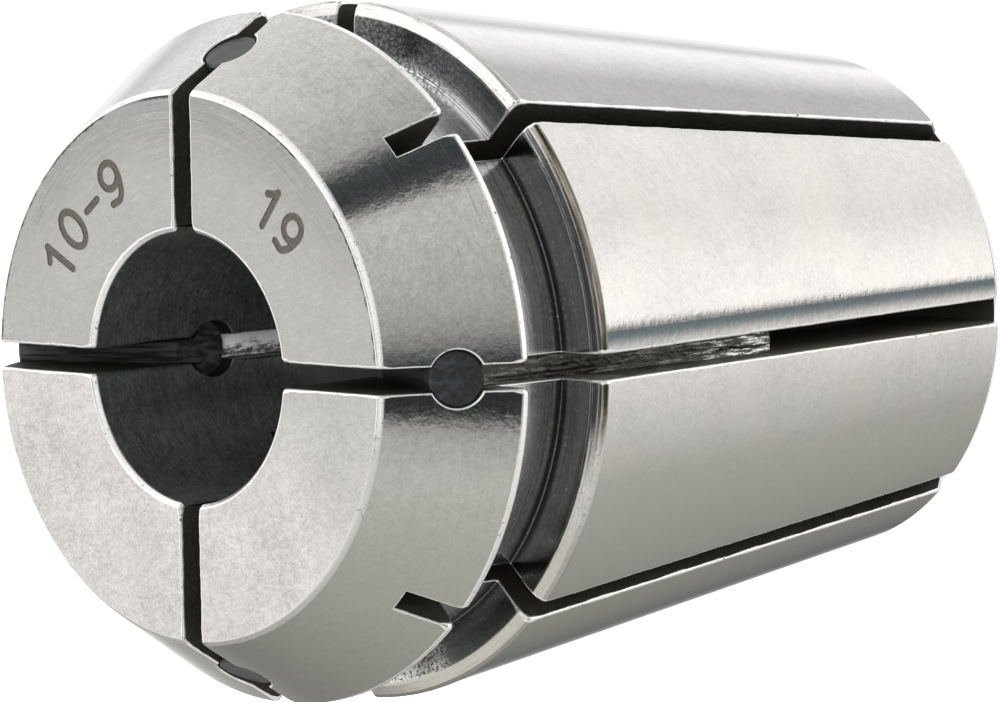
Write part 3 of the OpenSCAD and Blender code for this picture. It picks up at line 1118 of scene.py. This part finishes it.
def bore_extra(n, col, k):
    """Fine honing scratches that run round the bore at a slight slope."""
    lay = n.combine(n.math("ADD", n.math("MULTIPLY", k["a"], 9.0), n.math("MULTIPLY", k["z"], 0.5)),
                    n.math("ADD", n.math("MULTIPLY", k["z"], 13.0), n.math("MULTIPLY", k["a"], 7.0)), 0.0)
    f = n.noise(lay, 1.0, 4.0, 0.75)
    col = n.mix(n.math("MULTIPLY", n.ramp01(f, 0.54, 0.66), 0.8), col, (0.84, 0.90, 0.88))
    lay2 = n.combine(n.math("MULTIPLY", k["a"], 2.0), n.math("SUBTRACT", n.math("MULTIPLY", k["z"], 13.0), n.math("MULTIPLY", k["a"], 11.0)), 0.0)
    f2 = n.noise(lay2, 1.0, 4.0, 0.75)
    col = n.mix(n.math("MULTIPLY", n.ramp01(f2, 0.58, 0.70), 0.4), col, (0.76, 0.82, 0.80))
    col = n.mix(n.math("MULTIPLY", n.ramp01(f, 0.44, 0.34), 0.6), col, (0.14, 0.15, 0.145))
    # painted light: lighter deep down on the far wall
    deep_painted_light = n.math("MULTIPLY", n.ramp01(k["z"], 25.5, 21.5), n.ramp01(k["x"], -3.4, -4.4))
    col = n.mix(n.math("MULTIPLY", deep_painted_light, 0.85), col, (0.95, 0.97, 0.95))
    dots = n.noise(k["mm"], 8.0, 2.0, 0.6)
    return n.mix(n.math("MULTIPLY", n.ramp01(dots, 0.66, 0.72), 0.8), col, (0.95, 0.97, 0.96))


def slot_extra(n, col, k):
    """Walls painted near-black as painted shade, darkest where the relief holes reach the bore, lighter in the open
    part behind the web as painted light, with torn fibres beside one web.
    """
    # painted shade: near-black where the relief holes reach the bore
    hole = n.math("MULTIPLY", n.ramp01(k["z"], 29.6, 29.0), n.ramp01(k["z"], 25.8, 26.4))
    hole = n.math("MULTIPLY", hole, n.ramp01(k["r"], 8.6, 7.6))
    col = n.mix(n.math("MULTIPLY", hole, 0.94), col, (0.003, 0.003, 0.003))
    q = n.combine(n.math("MULTIPLY", k["x"], 9.0), n.math("MULTIPLY", k["y"], 9.0), n.math("MULTIPLY", k["z"], 0.85))
    f = n.noise(q, 1.0, 5.0, 0.75)
    # painted light in the open part of the slot behind the web
    open_part = n.math("MULTIPLY", n.ramp01(k["z"], 14.3, 14.0), n.ramp01(k["x"], 4.6, 5.2))
    open_part = n.math("MULTIPLY", open_part, n.ramp01(n.math("ABSOLUTE", k["y"]), 0.6, 0.5))
    col = n.mix(n.math("MULTIPLY", open_part, 0.9), col, (0.12, 0.114, 0.083))
    near = n.math("MULTIPLY", n.ramp01(n.math("ABSOLUTE", k["y"]), 0.56, 0.5), n.ramp01(k["x"], 9.9, 10.3))
    near = n.math("MULTIPLY", near, n.math("MULTIPLY", n.ramp01(k["z"], 14.0, 14.2), n.ramp01(k["z"], 30.4, 29.6)))
    fibre = n.mix(n.ramp01(f, 0.44, 0.62), (0.035, 0.034, 0.029), (0.30, 0.295, 0.265))
    return n.mix(near, col, fibre)


def web_extra(n, col, k):
    """Torn metal fibres along the slot line, on faces painted near-black as painted shade, brighter towards the web's
    rear end as painted glints.
    """
    q = n.combine(n.math("MULTIPLY", k["x"], 9.0), n.math("MULTIPLY", k["y"], 9.0), n.math("MULTIPLY", k["z"], 0.85))
    f = n.noise(q, 1.0, 5.0, 0.75)
    # painted glints: the fibres brighter towards the web's rear end
    glint = n.math("ADD", 0.13, n.math("MULTIPLY", n.ramp01(k["z"], 19.0, 15.2), 0.85))
    return n.mix(n.math("MULTIPLY", n.ramp01(f, 0.51, 0.59), glint), col, (0.94, 0.94, 0.90))


def web_face_extra(n, col, k):
    """Lumpy metal on the bore's side of the webs, painted near-white as a painted reflection, with painted shade along
    one edge.
    """
    lump = n.noise(n.combine(n.math("MULTIPLY", k["x"], 3.0), n.math("MULTIPLY", k["y"], 5.0), n.math("MULTIPLY", k["z"], 1.7)), 1.0, 5.0, 0.72)
    edge = n.ramp01(n.math("ADD", k["y"], n.math("MULTIPLY", n.math("SUBTRACT", lump, 0.5), 0.9)), -0.22, 0.06)
    bright = n.mix(n.ramp01(lump, 0.28, 0.46), (0.55, 0.56, 0.56), (0.99, 0.99, 0.99))
    shade = n.mix(n.ramp01(lump, 0.46, 0.62), (0.10, 0.10, 0.095), (0.90, 0.90, 0.88))
    return n.mix(edge, shade, bright)


def build_materials():
    mats = {}
    mats[FACE] = ground_steel("steel_face", (0.70, 0.685, 0.67), 0.27, 0.28, grain=1.05, streak=0.15, cloud=0.45,
                              grain_bump=4.0e-6, streak_bump=0.4e-6, tint=((0.80, 0.735, 0.70), 0.3), extra=face_extra)
    mats[CONE] = ground_steel("steel_cone", (0.66, 0.655, 0.63), 0.20, 0.12, grain=1.0, streak=0.24, cloud=0.36,
                              grain_bump=2.8e-6, streak_bump=1.3e-6, tint=((0.66, 0.66, 0.585), 0.25), extra=cone_extra)
    mats[BODY] = ground_steel("steel_taper", (0.70, 0.685, 0.67), 0.13, 0.07, grain=1.0, streak=0.14, cloud=0.36,
                              grain_bump=0.7e-6, streak_bump=0.3e-6, streak_y=7.0, tint=((0.80, 0.755, 0.70), 0.28),
                              extra=body_extra)
    mats[LEAD] = ground_steel("steel_lead", (0.78, 0.765, 0.745), 0.15, 0.18, grain=0.7, streak=0.5, cloud=0.3,
                              grain_bump=2.5e-6, streak_bump=3.0e-6, extra=lead_extra)
    # the groove painted darker than the outer steel as painted shade
    mats[GROOVE] = ground_steel("steel_groove", (0.37, 0.375, 0.37), 0.45, 0.18, grain=0.7, streak=0.9, cloud=0.4,
                                grain_bump=2.0e-6, streak_bump=4.0e-6, streak_x=1.6, streak_y=7.0, extra=groove_extra)
    # edges painted near-white, partly wear and partly painted highlight
    mats[EDGE] = ground_steel("steel_edge", (0.90, 0.893, 0.88), 0.10, 0.24, grain=0.6, streak=0.2, cloud=0.4,
                              grain_bump=3.0e-6, streak_bump=0.6e-6, extra=edge_extra, metallic=0.88)
    # slot walls painted near-black as painted shade
    mats[SLOT] = ground_steel("steel_slot", (0.021, 0.0198, 0.0145), 0.5, 0.62, grain=0.6, streak=0.6, cloud=0.4,
                              grain_bump=5.0e-6, streak_bump=4.0e-6, streak_x=2.0, streak_y=6.0, extra=slot_extra, metallic=0.2)
    # the web's outer faces painted near-black as painted shade
    mats[WEB] = ground_steel("steel_web", (0.050, 0.048, 0.042), 0.5, 0.26, grain=0.8, streak=0.3, cloud=0.5,
                             grain_bump=9.0e-6, streak_bump=2.0e-6, extra=web_extra, metallic=0.8)
    # painted reflection: near-white and barely metallic
    mats[WEB_FACE] = ground_steel("steel_web_face", (0.5, 0.5, 0.5), 0.5, 0.30, grain=0.8, streak=0.3, cloud=0.5,
                                  grain_bump=12.0e-6, streak_bump=2.0e-6, extra=web_face_extra, metallic=0.06)
    mats[BORE] = ground_steel("steel_bore", (0.42, 0.445, 0.43), 0.40, 0.34, grain=1.0, streak=0.7, cloud=0.3,
                              grain_bump=2.5e-6, streak_bump=3.0e-6, streak_x=3.0, streak_y=5.0, extra=bore_extra, metallic=0.955)
    mats[REAR] = ground_steel("steel_rear", (0.66, 0.65, 0.635), 0.18, 0.26, grain=0.5, streak=0.7, cloud=0.4,
                              grain_bump=2.0e-6, streak_bump=2.5e-6)
    m, n, bsdf = new_material("steel_mark")
    mm, x, y, z, r, a = cylinder_coords(n)
    f = n.noise(mm, 9.0, 3.0, 0.65)
    n.put(bsdf.inputs["Base Color"], n.mix(n.ramp01(f, 0.3, 0.7), (0.135, 0.122, 0.107), (0.27, 0.245, 0.215)))
    bsdf.inputs["Metallic"].default_value = 1.0
    n.put(bsdf.inputs["Roughness"], n.mapped(f, 0.3, 0.7, 0.46, 0.66))
    n.put(bsdf.inputs["Normal"], n.bump(f, 6.0e-6))
    mats[MARK] = m
    m, n, bsdf = new_material("dark_plug")
    mm, x, y, z, r, a = cylinder_coords(n)
    f = n.noise(mm, 5.0, 4.0, 0.6)
    lines = n.noise(n.combine(n.math("MULTIPLY", x, 2.6), n.math("MULTIPLY", y, 2.6), n.math("MULTIPLY", z, 0.35)), 1.0, 2.0, 0.5)
    col = n.mix(n.ramp01(f, 0.3, 0.7), (0.008, 0.009, 0.009), (0.014, 0.0155, 0.0155))
    col = n.mix(n.math("MULTIPLY", n.ramp01(lines, 0.5, 0.62), 0.6), col, (0.020, 0.026, 0.029))
    # painted light: the plug at -x mixed lighter, in pale streaks
    rod = n.noise(n.combine(n.math("MULTIPLY", x, 0.5), n.math("MULTIPLY", y, 6.0), n.math("ADD", n.math("MULTIPLY", z, 2.0), n.math("MULTIPLY", x, 1.06))), 1.0, 3.0, 0.6)
    pale = n.mix(n.ramp01(rod, 0.40, 0.62), (0.010, 0.011, 0.0105), (0.048, 0.052, 0.049))
    col = n.mix(n.math("MULTIPLY", n.ramp01(x, -4.0, -5.0), 0.85), col, pale)
    n.put(bsdf.inputs["Base Color"], col)
    n.put(bsdf.inputs["Roughness"], n.mapped(f, 0.3, 0.7, 0.30, 0.42))
    n.put(bsdf.inputs["Normal"], n.bump(f, 2.0e-6))
    mats["plug"] = m
    return mats


mats = build_materials()
body = build_body()
for zone in range(12):
    body.data.materials.append(mats[zone])
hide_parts("collet_body")
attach(body, "root")
for name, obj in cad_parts.items():
    if name.startswith("seal_plug"):
        obj.data.materials.clear()
        obj.data.materials.append(mats["plug"])

# --------------------------------------------------------------------- stage
# A plain pale floor, with a painted shadow where the collet stands on it: a dark disc.
# The painted shadow also shows in the steel.
m, n, bsdf = new_material("pale_floor")
tc = n.new("ShaderNodeTexCoord")
f = n.noise(tc.outputs["Object"], 40.0, 2.0, 0.5)
n.put(bsdf.inputs["Base Color"], n.mix(f, (0.89, 0.89, 0.89), (0.92, 0.92, 0.92)))
bsdf.inputs["Roughness"].default_value = 0.9
bsdf.inputs["Specular IOR Level"].default_value = 0.1
bsdf.inputs["Emission Color"].default_value = (1.0, 1.0, 1.0, 1.0)
bsdf.inputs["Emission Strength"].default_value = 0.34
pale = m
# painted shadow: a dark disc under the collet
m, n, bsdf = new_material("painted_floor_shadow")
n.put(bsdf.inputs["Base Color"], n.mix(n.noise(n.new("ShaderNodeTexCoord").outputs["Object"], 40.0, 2.0, 0.5), (0.028, 0.027, 0.022), (0.04, 0.038, 0.032)))
bsdf.inputs["Roughness"].default_value = 0.9
bsdf.inputs["Specular IOR Level"].default_value = 0.1
rings = {"floor_painted_shadow": (0.0, 0.0089, m), "floor": (0.0089, 1.6, pale)}
for name, (r0, r1, m) in rings.items():
    verts, faces = [], []
    for i in range(96):
        t = 2 * math.pi * i / 96
        verts.append((r1 * math.cos(t), r1 * math.sin(t), 0.0))
    if r0 == 0.0:
        faces.append(list(range(96)))
    else:
        for i in range(96):
            t = 2 * math.pi * i / 96
            verts.append((r0 * math.cos(t), r0 * math.sin(t), 0.0))
        faces = [(i, (i + 1) % 96, 96 + (i + 1) % 96, 96 + i) for i in range(96)]
    mesh = bpy.data.meshes.new(name)
    mesh.from_pydata(verts, [], faces)
    mesh.materials.append(m)
    part = bpy.data.objects.new(name, mesh)
    scene.collection.objects.link(part)
    part.visible_glossy = name != "floor"

# light on the floor from large soft panels, off to the sides of the bore
for k, (deg, elev, power) in enumerate(((22, 52, 5.5), (112, 50, 4.5), (-68, 48, 4.5), (-158, 50, 4.5))):
    light = bpy.data.lights.new("panel_%d" % k, "AREA")
    light.shape = "DISK"
    light.size = 0.55
    light.energy = power
    panel = bpy.data.objects.new("panel_%d" % k, light)
    d, e = math.radians(deg), math.radians(elev)
    panel.location = (0.85 * math.cos(e) * math.cos(d), 0.85 * math.cos(e) * math.sin(d), 0.85 * math.sin(e))
    panel.rotation_mode = "QUATERNION"
    panel.rotation_quaternion = (-panel.location).to_track_quat("-Z", "Y")
    panel.visible_glossy = False
    scene.collection.objects.link(panel)

# studio surroundings: soft bright and darker walls by direction
world = bpy.data.worlds.new("studio")
scene.world = world
world.use_nodes = True
world.node_tree.nodes.clear()
n = Nodes(world.node_tree)
out = n.new("ShaderNodeOutputWorld")
bg = n.new("ShaderNodeBackground")
n.links.new(bg.outputs[0], out.inputs[0])
tc = n.new("ShaderNodeTexCoord")
sep = n.new("ShaderNodeSeparateXYZ")
n.links.new(tc.outputs["Generated"], sep.inputs[0])
dx, dy, dz = sep.outputs
az = n.math("MULTIPLY", n.math("ARCTAN2", dy, dx), 180 / math.pi)
el = n.math("MULTIPLY", n.math("ARCSINE", dz), 180 / math.pi)
TOP = 2.0


def walls(stops):
    """Brightness by azimuth, in degrees; stops run from -180 to 180."""
    pos = n.mapped(az, -180, 180, 0, 1)
    ramp = n.new("ShaderNodeValToRGB")
    ramp.color_ramp.interpolation = "LINEAR"
    els = ramp.color_ramp.elements
    for i, (deg, val) in enumerate(stops):
        p = (deg + 180) / 360
        e = els[i] if i < 2 else els.new(p)
        e.position = p
        e.color = (val / TOP,) * 3 + (1.0,)
    n.links.new(pos, ramp.inputs[0])
    return n.math("MULTIPLY", ramp.outputs[0], TOP)


# walls at the height of the horizon, seen in the head cone
horizon = walls([(-180, 1.2), (-164, 1.15), (-154, 0.52), (-132, 0.30), (-87, 0.53), (-38, 0.70), (-26, 0.56), (-20.5, 0.48),
                 (-18, 0.03), (-1, 0.04), (8, 0.38), (16, 0.52), (32, 0.63), (53, 0.78), (56, 0.065), (64, 0.055), (71, 0.09),
                 (75, 0.54), (94, 0.74), (134, 0.98), (151, 1.08), (163, 0.74), (172, 1.15), (180, 1.2)])
# low walls, seen in the long taper
lower = walls([(-180, 1.0), (-165, 1.0), (-160, 0.3), (-151, 0.17), (-134, 0.25), (-92, 0.41), (-60, 0.51), (-30, 0.80), (-7, 1.05),
               (7, 1.36), (26, 1.27), (52, 1.06), (90, 1.13), (104, 0.70), (120, 0.69),
               (140, 1.14), (150, 1.25), (159, 0.74), (169, 1.02), (180, 1.0)])
# a narrow dark board leans low on the right; it is sharp on one side and fades out on the other
lean = n.math("ADD", az, n.math("MULTIPLY", n.math("ADD", el, 61.1), 1.9))
board = n.math("MULTIPLY", n.ramp01(lean, 5.3, 4.9), n.ramp01(lean, -8.5, -6.0))
board = n.math("MULTIPLY", board, n.ramp01(el, -54, -57))
lower = n.math("ADD", n.math("MULTIPLY", lower, n.math("SUBTRACT", 1.0, board)),
               n.math("MULTIPLY", n.mapped(lean, -6.5, 2.2, 0.98, 0.22), board))
# high walls, seen in the face and in the groove
upper = walls([(-180, 0.98), (-150, 0.95), (-110, 0.9), (-70, 0.7), (-20, 0.75), (40, 0.75), (90, 0.9), (110, 1.3), (128, 1.7), (150, 1.6),
               (165, 1.1), (180, 0.98)])
w_low = n.ramp01(el, -28, -42)
w_up = n.ramp01(el, 24, 34)
w_top = n.ramp01(el, 60, 72)
top = n.math("MAXIMUM", n.mapped(dy, -0.29, -0.2, 0.74, 0.14), n.mapped(dx, -0.17, -0.08, 0.6, 0.14))


def blend(a, b, w):
    return n.math("ADD", n.math("MULTIPLY", a, n.math("SUBTRACT", 1.0, w)), n.math("MULTIPLY", b, w))


lev = blend(horizon, lower, w_low)
lev = blend(lev, upper, w_up)
lev = blend(lev, top, w_top)
low = n.ramp01(el, -68, -84)
lev = n.math("MULTIPLY", lev, n.math("SUBTRACT", 1.0, n.math("MULTIPLY", low, 0.9)))
cool = n.math("MAXIMUM", n.math("MULTIPLY", n.ramp01(az, 85, 112), w_low),
              n.math("MULTIPLY", n.math("MAXIMUM", n.ramp01(az, 125, 152), n.ramp01(az, -158, -168)), n.ramp01(el, 2, -10)))
light_tone = n.mix(cool, (1.0, 0.99, 0.968), (0.970, 0.982, 0.998))
tone = n.mix(n.ramp01(lev, 0.06, 0.3), (0.88, 1.0, 1.07), light_tone)
n.put(bg.inputs["Color"], tone)
n.links.new(lev, bg.inputs["Strength"])

# -------------------------------------------------------------------- camera
cam_data = bpy.data.cameras.new("camera")
cam = bpy.data.objects.new("camera", cam_data)
scene.collection.objects.link(cam)
right = Vector((0.705211, -0.0208411, -0.7086912))
up = Vector((-0.0500063, 0.9956164, -0.0790397))
back = Vector((0.7072318, 0.0911787, 0.7010774))
rot = Matrix((right, up, back)).transposed().to_4x4()
cam.matrix_world = Matrix.Translation(Vector((285.6329, 36.1771, 300.9526)) * MM) @ rot
cam_data.lens = 386.4198
cam_data.sensor_width = 36.0
cam_data.sensor_fit = "HORIZONTAL"
cam_data.clip_start = 0.01
cam_data.clip_end = 10.0
cam_data.dof.use_dof = False
scene.camera = cam
scene.view_settings.view_transform = "Standard"
scene.view_settings.look = "None"
